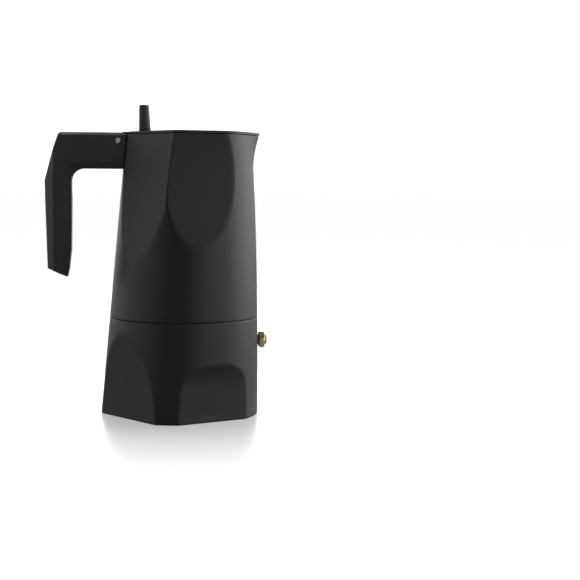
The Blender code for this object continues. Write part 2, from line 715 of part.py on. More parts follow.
def make_handle(black, steel):
    full, flat = handle_outlines()
    sections = (
        (flat, -HANDLE_HALF),
        (full, -HANDLE_FULL_HALF),
        (full, HANDLE_FULL_HALF),
        (flat, HANDLE_HALF),
    )
    rings = [[(x, y, z) for x, z in outline] for outline, y in sections]
    made = piece("handle", *loft(rings), black, (PIN_X, 0, PIN_Z))
    boolean(made, body_tool())
    slot = box((SLOT_BACK, -SLOT_HALF, SLOT_FLOOR), (-30.0, SLOT_HALF, HANDLE_TOP + 5))
    boolean(made, tool("handle_slot_tool", slot))
    boolean(made, cylinder_y("handle_pin_hole_tool", PIN_X, PIN_Z, PIN_R + GAP, HANDLE_HALF + 2))
    hole = (HANDLE_SCREW_X, HANDLE_SCREW_R + GAP, 180.0, SLOT_FLOOR + 2)
    boolean(made, cylinder_z("handle_screw_hole_tool", *hole))
    counterbore = (HANDLE_SCREW_X, HANDLE_SCREW_HEAD_R + GAP, 180.0, HANDLE_SCREW_SEAT)
    boolean(made, cylinder_z("handle_counterbore_tool", *counterbore))
    screw = (
        (HANDLE_SCREW_HEAD_R - 0.6, HANDLE_SCREW_SEAT - GAP - 1.9),
        (HANDLE_SCREW_HEAD_R, HANDLE_SCREW_SEAT - GAP - 1.3),
        (HANDLE_SCREW_HEAD_R, HANDLE_SCREW_SEAT - GAP),
        (HANDLE_SCREW_R, HANDLE_SCREW_SEAT - GAP),
        (HANDLE_SCREW_R, HANDLE_SCREW_TOP),
    )
    foot = (HANDLE_SCREW_X, 0, HANDLE_SCREW_SEAT)
    piece("handle_screw", *turned(screw, 24, centre=(HANDLE_SCREW_X, 0)), steel, foot)


# ---------------------------------------------------------------- assembly


def main():
    for old in list(bpy.data.objects):
        bpy.data.objects.remove(old, do_unlink=True)
    cast = material("black_cast_aluminium", (0.028, 0.028, 0.029), 0.55, 0.0)
    plain = material("bare_aluminium", (0.62, 0.62, 0.63), 0.42, 1.0)
    black = material("black_plastic", (0.022, 0.022, 0.023), 0.5, 0.0)
    steel = material("stainless_steel", (0.66, 0.66, 0.67), 0.28, 1.0)
    brass = material("brass", (0.78, 0.56, 0.24), 0.3, 1.0)
    fibre = material("red_fibre", (0.22, 0.05, 0.04), 0.7, 0.0)
    rubber = material("white_silicone", (0.75, 0.74, 0.7), 0.6, 0.0)

    make_boiler(cast)
    make_valve(brass, fibre, steel, rubber)
    funnel_top = make_funnel(plain)
    seal_top = make_seal(funnel_top, rubber, plain)
    make_chamber(seal_top, cast)
    make_column(plain)
    make_lid(cast)
    make_knob(black, steel)
    make_pin(steel)
    make_handle(black, steel)


main()
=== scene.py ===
"""The finished look of the moka pot: fine surfaces, procedural materials and a plain studio.

Shapes are worked out in millimetres, in the frame's own axes: +X to the spout, -X to the handle,
+Z up. They are stored in metres. Outer forms repeat the design's own formulas on a fine mesh.
"""

import json
import math

import bmesh
import bpy
import numpy as np
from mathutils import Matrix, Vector


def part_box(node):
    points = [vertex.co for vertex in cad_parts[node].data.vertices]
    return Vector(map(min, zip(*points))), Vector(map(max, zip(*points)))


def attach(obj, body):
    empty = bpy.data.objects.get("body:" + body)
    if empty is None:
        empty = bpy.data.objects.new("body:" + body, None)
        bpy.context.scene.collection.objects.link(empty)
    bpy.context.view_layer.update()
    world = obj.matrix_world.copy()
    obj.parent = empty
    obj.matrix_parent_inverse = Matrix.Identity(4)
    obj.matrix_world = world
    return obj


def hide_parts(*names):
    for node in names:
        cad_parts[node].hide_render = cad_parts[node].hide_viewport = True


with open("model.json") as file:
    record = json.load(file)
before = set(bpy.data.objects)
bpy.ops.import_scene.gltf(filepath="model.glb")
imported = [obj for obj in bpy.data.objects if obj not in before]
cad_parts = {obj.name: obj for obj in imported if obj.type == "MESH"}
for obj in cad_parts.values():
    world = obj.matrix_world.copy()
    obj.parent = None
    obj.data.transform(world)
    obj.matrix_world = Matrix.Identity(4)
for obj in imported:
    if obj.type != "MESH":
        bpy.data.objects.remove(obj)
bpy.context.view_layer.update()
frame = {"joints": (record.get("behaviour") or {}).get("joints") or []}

MM = 0.001
GAP = 0.3
JOINTS = {joint["name"]: joint for joint in frame["joints"]}


def corners(node):
    """A CAD node's lowest and highest corner, in millimetres."""
    return [np.array(corner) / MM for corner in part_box(node)]


def middle_x(node):
    low, high = corners(node)
    return (low[0] + high[0]) / 2


# ---------------------------------------------------------------- sizes

BOILER_TOP = corners("boiler")[1]
CHAMBER_LOW = corners("upper_chamber")[0]
LID_HIGH = corners("lid")[1]
KNOB_LOW, KNOB_HIGH = corners("lid_knob")
HANDLE_LOW, HANDLE_HIGH = corners("handle")
VALVE_LOW, VALVE_HIGH = corners("valve_body")
FUNNEL_LOW, FUNNEL_HIGH = corners("funnel_basket")

# Body: straight back, front that leans in a little more with height
BACK_AT_BASE, BACK_LEAN = -62.4, 0.0905
FRONT_AT_BASE, FRONT_FALL, FRONT_POWER = 55.9, 8.04e-6, 2.5
SEAM = CHAMBER_LOW[2] - GAP / 2
RIM = 209.6
WALL, RIM_WALL = 3.6, 2.8
FLOOR = 4.0
EDGE_SOFTNESS = 0.9
BASE_FILLET, SEAM_FILLET, SKIRT_FILLET, RIM_FILLET = 1.0, 0.75, 0.35, 0.3
BOILER_CORNER, CHAMBER_CORNER = 3.0, 6.0  # radius between the inside wall and the floor
QUARTER_TURN = (0.0, 22.5, 45.0, 67.5, 90.0)  # steps round a soft edge, in degrees

# Facets: azimuth in degrees, least distance from the axis, height of that line, and the scoop:
# the facet lies 1 mm further out at this distance above or below the line, by the power after it
BOILER_FACETS = (
    (-142.2, 51.1, 8.9, 22.9, 2),
    (-62.2, 50.4, 15.0, 17.5, 4),
    (70.7, 49.0, 8.3, 18.9, 2),
    (138.0, 49.3, 10.0, 14.9, 2),
)
CHAMBER_FACETS = (
    (-135.4, 34.9, 250.7, 32.0, 2),
    (-79.2, 42.3, 190.8, 19.5, 2),
    (47.3, 43.3, 187.0, 25.2, 2),
    (134.4, 36.2, 206.3, 22.3, 2),
)
# Mesh columns: in each facet, then in each stretch after a facet
FACET_COLUMNS = 40
BOILER_STRIPS = (36, 110, 36, 40)
CHAMBER_STRIPS = (16, 120, 40, 70)
CROWDING = 0.72  # how far columns draw together towards a facet's edges, 0 to 1
LEAST_FACET_ANGLE = 17.0
LEAST_COLUMN = 0.12
LEAST_FACING = 0.3
ROW = 0.75

# Spout
SPOUT_REACH = 5.4
SPOUT_START = 184.0
SPOUT_POWER = 1.7
SPOUT_HALF_ANGLE = 30.0
SPOUT_SIDE_POWER = 2.1
SPOUT_TIP_ROUNDING = 2.0

# Screw joint
PITCH, THREAD_DEPTH, THREAD_PLAY, THREAD_FADE, THREAD_STEP = 4.0, 1.3, 0.45, 1.2, 0.2
NECK_TOP = BOILER_TOP[2]
NECK_BORE, NECK_ROOT = 35.0, 40.0
NECK_FOOT, SHOULDER = SEAM - 3.0, SEAM - 11.0  # inside: the bore's low end, and the full width below it
CHAMBER_FLOOR = 92.8
CHAMBER_INNER_TOP = RIM - 8.0
RELIEF_IN, RELIEF_OUT, RELIEF_TOP = 46.0, 51.0, 84.0
COLUMN_HOLE = 6.3

# Lid, hinge and knob
LID_OVERHANG = 0.5
LID_BACK = -40.6
LID_RING_INSET, LID_RING_THICK = 5.4, 1.5
LID_BOTTOM = LID_HIGH[2] - 1.9
LID_FILLET = 0.45
PIN_X, _, PIN_Z = (value / MM for value in JOINTS["lid_hinge"]["pos_m"])
PIN_R = 1.75
EAR_IN, EAR_OUT, EAR_R = 2.9, 4.8, 4.0
KNOB_BASE_R, KNOB_TOP_R, KNOB_LEAN = 4.45, 3.6, 0.6
KNOB_HOLE = 11.0
SCREW_R, SCREW_HEAD, SCREW_HOLE_R = 1.5, 1.8, 1.8

# Handle
HANDLE_TOP = HANDLE_HIGH[2]
HANDLE_HALF = HANDLE_HIGH[1]
HANDLE_FULL_HALF = 4.8
HANDLE_CLEAR = (0.35, 0.9)  # gap to the body under the arm and beside it
HANDLE_ARM_LOW = 184.2
HANDLE_FRONT = -38.0
HANDLE_EDGE = 0.7
HANDLE_SCREW_SEAT = 186.6
SLOT_HALF, SLOT_BACK, SLOT_FLOOR = 5.1, -57.6, 189.0
LUG_HALF, LUG_R, LUG_BACK = 2.6, 3.9, -53.6

# Safety valve
VALVE_Z = (VALVE_LOW[2] + VALVE_HIGH[2]) / 2
SHANK_R = 4.0
HEX_FLAT, HEX_START, HEX_END, VALVE_END_R = 6.0, 57.2, 61.1, 3.75
VALVE_BORE, VALVE_SEAT = 2.7, 1.5
SPRING_R, SPRING_WIRE_R, SPRING_TURNS = 1.75, 0.28, 6

# Studio
BACKDROP = 1.4
FLOOR_GLOW_AND_PAINTED_SHADE = (0.4, 0.95)  # painted glow close to the pot and far from it; the weaker glow close to the pot is painted shade round it
POLISHED = (0.07, 0.24)  # metres from the axis between which the polish fades out
FLOOR_REACH, FLOOR_DEPTH = 40.0, 0.0002  # metres
LENS = 80.36
CAMERA_PLACE = (0.0, -0.981, 0.1698)  # metres
CAMERA_TURN = (85.555, -0.38, -4.66)  # degrees
SOFTBOX_DISTANCE, SOFTBOX_WIDTH = 1.2, 0.47
SOFTBOX_LOW, SOFTBOX_HIGH = 0.02, 1.2


# ---------------------------------------------------------------- mesh helpers


def piece(name, points, faces, looks, body, node=None, sharp=35.0, face_looks=None):
    """A piece from points in millimetres; it rides on a body and may stand for a CAD node."""
    mesh = bpy.data.meshes.new(name)
    mesh.from_pydata([Vector(p) * MM for p in points], [], faces)
    for look in looks:
        mesh.materials.append(look)
    if face_looks is not None:
        mesh.polygons.foreach_set("material_index", face_looks)
    work = bmesh.new()
    work.from_mesh(mesh)
    bmesh.ops.remove_doubles(work, verts=work.verts, dist=1e-7)
    bmesh.ops.dissolve_degenerate(work, edges=work.edges, dist=1e-7)
    bmesh.ops.recalc_face_normals(work, faces=work.faces)
    if work.calc_volume(signed=True) < 0:
        bmesh.ops.reverse_faces(work, faces=work.faces)
    work.to_mesh(mesh)
    work.free()
    mesh.shade_smooth()
    mesh.set_sharp_from_angle(angle=math.radians(sharp))
    made = bpy.data.objects.new(name, mesh)
    bpy.context.scene.collection.objects.link(made)
    if body is not None:
        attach(made, body)
    if node is not None:
        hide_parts(node)
    return made


def loft(rings, closed=False):
    """Faces between equal rings of points; the first and last ring are capped unless closed."""
    count = len(rings[0])
    points = [p for ring in rings for p in ring]
    faces = []
    for i in range(len(rings) if closed else len(rings) - 1):
        low, high = i * count, (i + 1) % len(rings) * count
        for j in range(count):
            k = (j + 1) % count
            faces.append((low + j, low + k, high + k, high + j))
    if not closed:
        faces.append(tuple(reversed(range(count))))
        faces.append(tuple(range(len(points) - count, len(points))))
    return points, faces


def circle(radius, z, count, centre=(0.0, 0.0), start=0.0):
    x, y = centre
    turns = [start + i * 2 * math.pi / count for i in range(count)]
    return [(x + radius * math.cos(turn), y + radius * math.sin(turn), z) for turn in turns]


def rounded(profile, radius, count=3):
    """A closed profile with its corners rounded, each by at most a third of its shorter side."""
    made = []
    for i, corner in enumerate(profile):
        here = np.array(corner, float)
        back = np.array(profile[i - 1], float) - here
        on = np.array(profile[(i + 1) % len(profile)], float) - here
        reach = min(radius, np.hypot(*back) / 3, np.hypot(*on) / 3)
        start = here + back / np.hypot(*back) * reach
        end = here + on / np.hypot(*on) * reach
        for n in range(count + 1):
            t = n / count
            made.append(tuple((1 - t) ** 2 * start + 2 * t * (1 - t) * here + t * t * end))
    return made


def turned(profile, count=96, closed=True, centre=(0.0, 0.0)):
    """A body turned round a vertical axis from (radius, z) points."""
    return loft([circle(r, z, count, centre) for r, z in profile], closed)


def along_x(points, x, z):
    """Turns points made round +Z so that they lie along +X, their foot at (x, 0, z)."""
    return [(x + p[2], p[1], z + p[0]) for p in points]


def along_y(points, x, z):
    """Turns points made round +Z so that they lie along +Y, through (x, 0, z)."""
    return [(x + p[1], p[2], z + p[0]) for p in points]


def prism(outline, low, high):
    """An (x, z) outline drawn out along Y."""
    return loft([[(x, y, z) for x, z in outline] for y in (low, high)])


def box(low, high):
    outline = [(low[0], low[2]), (high[0], low[2]), (high[0], high[2]), (low[0], high[2])]
    return prism(outline, low[1], high[1])


def arc(x, z, radius, start, end, count):
    """Points of an arc in the X-Z plane, angles in degrees from +X towards +Z."""
    angles = [math.radians(start + (end - start) * i / count) for i in range(count + 1)]
    return [(x + radius * math.cos(a), z + radius * math.sin(a)) for a in angles]


def apply_modifiers(target):
    """Makes the evaluated mesh the object's own."""
    graph = bpy.context.evaluated_depsgraph_get()
    target.data = bpy.data.meshes.new_from_object(target.evaluated_get(graph))
    target.modifiers.clear()


def combine(target, shape, operation="DIFFERENCE", solver="EXACT"):
    """Cuts or joins a helper shape into a piece, and removes the helper."""
    helper = piece("helper", *shape, [], None)
    modifier = target.modifiers.new("shape", "BOOLEAN")
    modifier.operation = operation
    modifier.solver = solver
    modifier.object = helper
    apply_modifiers(target)
    bpy.data.objects.remove(helper)


def soften(target, width, segments, angle):
    """Rounds the edges that are sharper than an angle."""
    modifier = target.modifiers.new("edges", "BEVEL")
    modifier.width = width * MM
    modifier.segments = segments
    modifier.limit_method = "ANGLE"
    modifier.angle_limit = math.radians(angle)
    apply_modifiers(target)


def level_shading(target):
    """Lets the large faces set the normals along their rounded edges, so that they look flat."""
    modifier = target.modifiers.new("normals", "WEIGHTED_NORMAL")
    modifier.mode = "FACE_AREA"
    modifier.weight = 100
    modifier.keep_sharp = True
    apply_modifiers(target)


def cylinder_y(x, z, radius, half, count=48):
    points, faces = turned(((radius, -half), (radius, half)), count, closed=False)
    return along_y(points, x, z), faces


def cylinder_z(x, radius, low, high, count=48):
    return turned(((radius, low), (radius, high)), count, closed=False, centre=(x, 0.0))


# ---------------------------------------------------------------- materials


class Nodes:
    """A small helper that adds and links nodes of one material."""

    def __init__(self, name):
        self.material = bpy.data.materials.new(name)
        self.material.use_nodes = True
        self.tree = self.material.node_tree
        self.shader = self.tree.nodes["Principled BSDF"]
        self.place = self.add("ShaderNodeTexCoord").outputs["Object"]

    def add(self, kind, **values):
        node = self.tree.nodes.new(kind)
        for key, value in values.items():
            setattr(node, key, value)
        return node

    def link(self, source, target):
        self.tree.links.new(source, target)

    def noise(self, scale, detail=3.0, roughness=0.55, stretch=(1, 1, 1)):
        """Noise on the object's own coordinates; scale is waves per metre."""
        mapping = self.add("ShaderNodeMapping")
        mapping.inputs["Scale"].default_value = stretch
        self.link(self.place, mapping.inputs["Vector"])
        texture = self.add("ShaderNodeTexNoise")
        texture.inputs["Scale"].default_value = scale
        texture.inputs["Detail"].default_value = detail
        texture.inputs["Roughness"].default_value = roughness
        self.link(mapping.outputs["Vector"], texture.inputs["Vector"])
        return texture.outputs["Fac"]

    def spread(self, source, low, high, start=0.35, end=0.65):
        """Maps a texture's start..end onto low..high."""
        ranged = self.add("ShaderNodeMapRange")
        ranged.inputs["From Min"].default_value = start
        ranged.inputs["From Max"].default_value = end
        ranged.inputs["To Min"].default_value = low
        ranged.inputs["To Max"].default_value = high
        self.link(source, ranged.inputs["Value"])
        return ranged.outputs["Result"]

    def colours(self, source, dark, light, start=0.3, end=0.7):
        ramp = self.add("ShaderNodeValToRGB")
        ramp.color_ramp.elements[0].position = start
        ramp.color_ramp.elements[0].color = (*dark, 1.0)
        ramp.color_ramp.elements[1].position = end
        ramp.color_ramp.elements[1].color = (*light, 1.0)
        self.link(source, ramp.inputs["Fac"])
        self.link(ramp.outputs["Color"], self.shader.inputs["Base Color"])

    def bump(self, layers):
        """Stacks bumps: (height source, height in metres, strength)."""
        normal = None
        for source, height, strength in layers:
            bump = self.add("ShaderNodeBump")
            bump.inputs["Distance"].default_value = height
            bump.inputs["Strength"].default_value = strength
            self.link(source, bump.inputs["Height"])
            if normal is not None:
                self.link(normal, bump.inputs["Normal"])
            normal = bump.outputs["Normal"]
        self.link(normal, self.shader.inputs["Normal"])


def coated_cast():
    """Matte black coat on cast aluminium: fine orange peel, faint cloudiness."""
    made = Nodes("coated_cast")
    grain = made.noise(2600.0, 2.0)
    cloud = made.noise(22.0, 4.0)
    made.colours(cloud, (0.0125, 0.0125, 0.0128), (0.0155, 0.0155, 0.0157))
    made.link(made.spread(grain, 0.43, 0.5), made.shader.inputs["Roughness"])
    made.bump([(made.noise(420.0, 2.0), 0.00004, 0.25), (grain, 0.00002, 0.3)])
    return made.material


def raw_cast():
    """Bare cast aluminium on the inside: dull, slightly mottled and grainy."""
    made = Nodes("raw_cast")
    grain = made.noise(1500.0, 3.0)
    made.colours(made.noise(60.0, 5.0), (0.42, 0.42, 0.43), (0.56, 0.56, 0.57))
    made.shader.inputs["Metallic"].default_value = 0.9
    made.link(made.spread(grain, 0.42, 0.56), made.shader.inputs["Roughness"])
    made.bump([(grain, 0.00008, 0.4)])
    return made.material


def ringed_metal(name, dark, light, rough, lines, axis="Z"):
    """Turned metal: fine rings round an axis, with a little colour variation."""
    made = Nodes(name)
    wave = made.add("ShaderNodeTexWave", wave_type="RINGS", rings_direction=axis)
    wave.inputs["Scale"].default_value = lines
    wave.inputs["Distortion"].default_value = 0.6
    wave.inputs["Detail"].default_value = 2.0
    made.link(made.place, wave.inputs["Vector"])
    made.colours(made.noise(180.0, 4.0), dark, light)
    made.shader.inputs["Metallic"].default_value = 1.0
    made.link(made.spread(made.noise(900.0, 3.0), *rough), made.shader.inputs["Roughness"])
    made.bump([(wave.outputs["Fac"], 0.00002, 0.2)])
    return made.material


def moulded_black():
    """Black moulded plastic with a fine spark-eroded grain."""
    made = Nodes("moulded_black")
    grain = made.add("ShaderNodeTexVoronoi")
    grain.inputs["Scale"].default_value = 2200.0
    made.link(made.place, grain.inputs["Vector"])
    made.colours(made.noise(30.0, 3.0), (0.034, 0.034, 0.0345), (0.04, 0.04, 0.0405))
    made.link(made.spread(made.noise(700.0, 3.0), 0.56, 0.64), made.shader.inputs["Roughness"])
    made.bump([(grain.outputs["Distance"], 0.00002, 0.25)])
    return made.material


def pressed_fibre():
    made = Nodes("pressed_fibre")
    threads = made.noise(800.0, 6.0, 0.7, (1, 4, 1))
    made.colours(threads, (0.14, 0.03, 0.025), (0.28, 0.075, 0.055))
    made.link(made.spread(threads, 0.65, 0.8), made.shader.inputs["Roughness"])
    made.bump([(threads, 0.00006, 0.5)])
    return made.material


def silicone():
    made = Nodes("silicone")
    soft = made.noise(120.0, 4.0)
    made.colours(soft, (0.68, 0.67, 0.62), (0.78, 0.77, 0.73))
    made.shader.inputs["Subsurface Weight"].default_value = 0.15
    made.link(made.spread(soft, 0.5, 0.62), made.shader.inputs["Roughness"])
    made.bump([(made.noise(900.0, 2.0), 0.00003, 0.3)])
    return made.material


COAT = coated_cast()
RAW = raw_cast()
SPUN = ringed_metal("spun_aluminium", (0.55, 0.55, 0.56), (0.68, 0.68, 0.69), (0.3, 0.42), 1400.0)
STEEL = ringed_metal("turned_steel", (0.6, 0.6, 0.61), (0.74, 0.74, 0.75), (0.2, 0.32), 1800.0)
BRASS = ringed_metal("brass", (0.83, 0.64, 0.27), (0.95, 0.78, 0.4), (0.36, 0.48), 1600.0, "X")
SATIN = ringed_metal("satin_steel", (0.8, 0.8, 0.8), (0.88, 0.88, 0.88), (0.5, 0.6), 900.0, "Y")
PLASTIC = moulded_black()
FIBRE = pressed_fibre()
RUBBER = silicone()


# ---------------------------------------------------------------- outer form


def circle_at(z):
    """Centre x and radius of the round body at height z."""
    back = BACK_AT_BASE + BACK_LEAN * z
    front = FRONT_AT_BASE - FRONT_FALL * max(z, 0.0) ** FRONT_POWER
    return (back + front) / 2, (front - back) / 2


def facet_distance(facet, z):
    """How far a facet lies from the axis at height z."""
    _, least, height, scoop, power = facet
    return least + (abs(z - height) / scoop) ** power


def spout_bulge(angles, z):
    """How far the spout stands out of the body."""
    rise = max(z - SPOUT_START, 0.0) / (RIM - SPOUT_START)
    off = np.degrees(np.arctan2(np.sin(angles), np.cos(angles)))
    off = np.hypot(off, SPOUT_TIP_ROUNDING) - SPOUT_TIP_ROUNDING
    side = np.clip(1.0 - off / SPOUT_HALF_ANGLE, 0.0, 1.0) ** SPOUT_SIDE_POWER
    return SPOUT_REACH * rise**SPOUT_POWER * side


def outer_radius(angles, z, facets):
    """Distance of the outer surface from the Z axis, for an array of angles."""
    centre, radius = circle_at(z)
    reach = centre * np.cos(angles) + np.sqrt(radius**2 - (centre * np.sin(angles)) ** 2)
    for facet in facets:
        facing = np.cos(angles - math.radians(facet[0]))
        flat = facet_distance(facet, z) / np.maximum(facing, LEAST_FACING)
        blend = np.clip(EDGE_SOFTNESS - np.abs(reach - flat), 0.0, None) / EDGE_SOFTNESS
        cut = np.minimum(reach, flat) - blend**2 * EDGE_SOFTNESS / 4
        reach = np.where(facing > LEAST_FACING, cut, reach)
    return reach + spout_bulge(angles, z)


def facet_edges(facet, z):
    """The two angles at which a facet's edges meet the round body at height z."""
    azimuth = math.radians(facet[0])
    centre, radius = circle_at(z)
    apart = (facet_distance(facet, z) - centre * math.cos(azimuth)) / radius
    half = max(math.acos(max(-1.0, min(1.0, apart))), math.radians(LEAST_FACET_ANGLE))
    ends = []
    for side in (-half, half):
        x = centre + radius * math.cos(azimuth + side)
        y = radius * math.sin(azimuth + side)
        turn = math.atan2(y, x) - azimuth
        ends.append(azimuth + math.atan2(math.sin(turn), math.cos(turn)))
    return ends


def shared_edge(first, second, z):
    """The angle at which two neighbouring facets meet."""
    a, b = facet_distance(first, z), facet_distance(second, z)
    p, q = math.radians(first[0]), math.radians(second[0])
    along = math.atan2(b * math.cos(p) - a * math.cos(q), a * math.sin(q) - b * math.sin(p))
    middle = math.atan2(math.sin(p) + math.sin(q), math.cos(p) + math.cos(q))
    if math.cos(along - middle) < 0:
        along += math.pi
    turn = along - p
    return p + math.atan2(math.sin(turn), math.cos(turn))


def crowded(start, end, count):
    """Angles from start towards end, closer together near both."""
    t = np.arange(count) / count
    t = t - CROWDING * np.sin(2 * math.pi * t) / (2 * math.pi)
    return start + (end - start) * t


def column_angles(z, facets, strips):
    """Angles of the mesh columns at height z: they follow the facets' edges."""
    spans = [facet_edges(facet, z) for facet in facets]
    for i, facet in enumerate(facets):
        after = (i + 1) % len(facets)
        wrap = 2 * math.pi if after == 0 else 0.0
        end, start = spans[i][1], spans[after][0] + wrap
        room = math.radians(LEAST_COLUMN) * strips[i]
        if start - end < room:
            meet = shared_edge(facet, facets[after], z) if start < end else (start + end) / 2
            spans[i][1] = meet - room / 2
            spans[after][0] = meet + room / 2 - wrap
    angles = []
    for i, (start, end) in enumerate(spans):
        following = spans[(i + 1) % len(spans)][0]
        if i == len(spans) - 1:
            following += 2 * math.pi
        angles.append(crowded(start, end, FACET_COLUMNS))
        angles.append(crowded(end, following, strips[i]))
    return np.concatenate(angles)


def level(angles, radii, z):
    return [(r * math.cos(a), r * math.sin(a), z) for a, r in zip(angles, radii)]


def body_ring(z, facets, strips, inset=0.0, shape_z=None):
    """One level ring of the outer form, drawn in by inset."""
    shape_z = z if shape_z is None else shape_z
    angles = column_angles(shape_z, facets, strips)
    return level(angles, outer_radius(angles, shape_z, facets) - inset, z)


def even_angles(angles):
    """As many angles, evenly spaced, each as near its old place as that allows."""
    step = 2 * math.pi / len(angles)
    start = sum(angle - i * step for i, angle in enumerate(angles)) / len(angles)
    return start + step * np.arange(len(angles))


def round_ring(angles, radius, z):
    return level(angles, np.full(len(angles), radius), z)


def heights(low, high, step):
    return list(np.linspace(low, high, max(2, round((high - low) / step) + 1)))


def thread_rings(angles, low, high, root, fading):
    """Level rings up a rounded right-hand thread; a fading one runs out at both ends."""
    made = []
    for z in heights(low, high, THREAD_STEP):
        fade = min(1.0, (z - low) / THREAD_FADE, (high - z) / THREAD_FADE) if fading else 1.0
        wave = 0.5 + 0.5 * np.cos(2 * math.pi * z / PITCH - angles)
        made.append(level(angles, root + THREAD_DEPTH * wave * fade, z))
    return made


def fillet(z, radius, form, up):
    """Rings that round a body's edge at height z; form is (facets, strips)."""
    made = []
    sign = -1 if up else 1
    for turn in QUARTER_TURN:
        rise = radius * (1 - math.sin(math.radians(turn)))
        inset = radius * (1 - math.cos(math.radians(turn)))
        made.append(body_ring(z + sign * rise, *form, inset, z + sign * radius))
    return made if up else made[::-1]


def inside_corner(floor, radius, form, turns):
    """Rings that round the corner between the inside wall and the floor."""
    made = []
    for turn in turns:
        drop, draw = math.sin(math.radians(turn)), 1 - math.cos(math.radians(turn))
        made.append(body_ring(floor + radius * (1 - drop), *form, WALL + radius * draw, floor + radius))
    return made


def two_looks(rings, outer_bands, faces):
    """Material index of each face: 0 on the bands between the first rings, 1 on the rest."""
    marks = np.ones(len(faces), int)
    marks[: outer_bands * len(rings[0])] = 0
    return marks


# ---------------------------------------------------------------- boiler and chamber


def make_boiler():
    form = (BOILER_FACETS, BOILER_STRIPS)
    top = SEAM - GAP / 2
    rings = fillet(0.0, BASE_FILLET, form, up=False)
    rings += [body_ring(z, *form) for z in heights(BASE_FILLET, top - SEAM_FILLET, ROW)[1:-1]]
    rings += fillet(top, SEAM_FILLET, form, up=True)
    outer = len(rings) - 1
    angles = even_angles(column_angles(top, *form))
    rings += thread_rings(angles, top, NECK_TOP - 0.6, NECK_ROOT, True)
    rings.append(round_ring(angles, NECK_ROOT - 0.2, NECK_TOP - 0.2))
    rings.append(round_ring(angles, NECK_ROOT - 0.6, NECK_TOP))
    rings.append(round_ring(angles, NECK_BORE + 0.4, NECK_TOP))
    rings.append(round_ring(angles, NECK_BORE, NECK_TOP - 0.4))
    rings.append(round_ring(angles, NECK_BORE, NECK_FOOT))
    inner = heights(FLOOR + BOILER_CORNER, SHOULDER, 3.0)[::-1]
    rings += [body_ring(z, *form, WALL) for z in inner]
    rings += inside_corner(FLOOR, BOILER_CORNER, form, (30.0, 60.0, 90.0))
    points, faces = loft(rings)
    marks = two_looks(rings, outer, faces)
    underside = -2
    marks[underside] = 0
    made = piece("boiler_shell", points, faces, [COAT, RAW], "root", "boiler", face_looks=marks)
    hole_start, hole_length = VALVE_LOW[0] - 4.0, 20.0
    points, faces = turned(((SHANK_R + GAP, 0.0), (SHANK_R + GAP, hole_length)), 64, closed=False)
    combine(made, (along_x(points, hole_start, VALVE_Z), faces))


def make_chamber():
    form = (CHAMBER_FACETS, CHAMBER_STRIPS)
    bottom = SEAM + GAP / 2
    seat = FUNNEL_HIGH[2] - 0.8 + GAP
    under = corners("filter_plate")[1][2] + GAP
    recess = corners("gasket")[1][0] + 0.7
    rings = fillet(bottom, SKIRT_FILLET, form, up=False)
    rings += [body_ring(z, *form) for z in heights(bottom + SKIRT_FILLET, RIM - RIM_FILLET, ROW)[1:-1]]
    rings += fillet(RIM, RIM_FILLET, form, up=True)
    rings.append(body_ring(RIM, *form, RIM_WALL - 0.4))
    rings.append(body_ring(RIM - 0.4, *form, RIM_WALL, RIM))
    outer = len(rings) - 1
    inner = heights(CHAMBER_FLOOR + CHAMBER_CORNER, CHAMBER_INNER_TOP, 2.5)[::-1]
    rings += [body_ring(z, *form, WALL) for z in inner]
    rings += inside_corner(CHAMBER_FLOOR, CHAMBER_CORNER, form, QUARTER_TURN[1:])
    angles = even_angles(column_angles(bottom, *form))
    female_root = NECK_ROOT + THREAD_PLAY
    rings.append(round_ring(angles, COLUMN_HOLE, CHAMBER_FLOOR))
    rings.append(round_ring(angles, COLUMN_HOLE, under))
    rings.append(round_ring(angles, recess, under))
    rings.append(round_ring(angles, recess, seat))
    rings.append(round_ring(angles, female_root + THREAD_DEPTH, seat))
    rings += thread_rings(angles, bottom, seat - 0.5, female_root, False)[::-1]
    rings.append(round_ring(angles, RELIEF_IN, bottom))
    rings.append(round_ring(angles, RELIEF_IN, RELIEF_TOP))
    rings.append(round_ring(angles, RELIEF_OUT, RELIEF_TOP))
    rings.append(round_ring(angles, RELIEF_OUT, bottom))
    points, faces = loft(rings, closed=True)
    marks = two_looks(rings, outer, faces)
    looks = [COAT, RAW]
    made = piece("chamber_shell", points, faces, looks, "upper", "upper_chamber", face_looks=marks)
    front = -41.5  # the lug's root, inside the wall
    outline = [(front, SLOT_FLOOR + GAP), (front, PIN_Z + LUG_R - 0.6)]
    outline += arc(PIN_X, PIN_Z, LUG_R, 80, 200, 32)
    outline += [(LUG_BACK, SLOT_FLOOR + GAP)]
    combine(made, prism(outline, -LUG_HALF, LUG_HALF), "UNION", "MANIFOLD")
    combine(made, cylinder_y(PIN_X, PIN_Z, PIN_R + GAP, LUG_HALF + 2), solver="MANIFOLD")


# ---------------------------------------------------------------- lid and knob


def rim_outline(inset, z):
    """The rim's outline at height z, cut straight across at the handle."""
    points = body_ring(z, CHAMBER_FACETS, CHAMBER_STRIPS, inset, RIM)
    return [(max(x, LID_BACK + max(inset, 0.0)), y, h) for x, y, h in points]


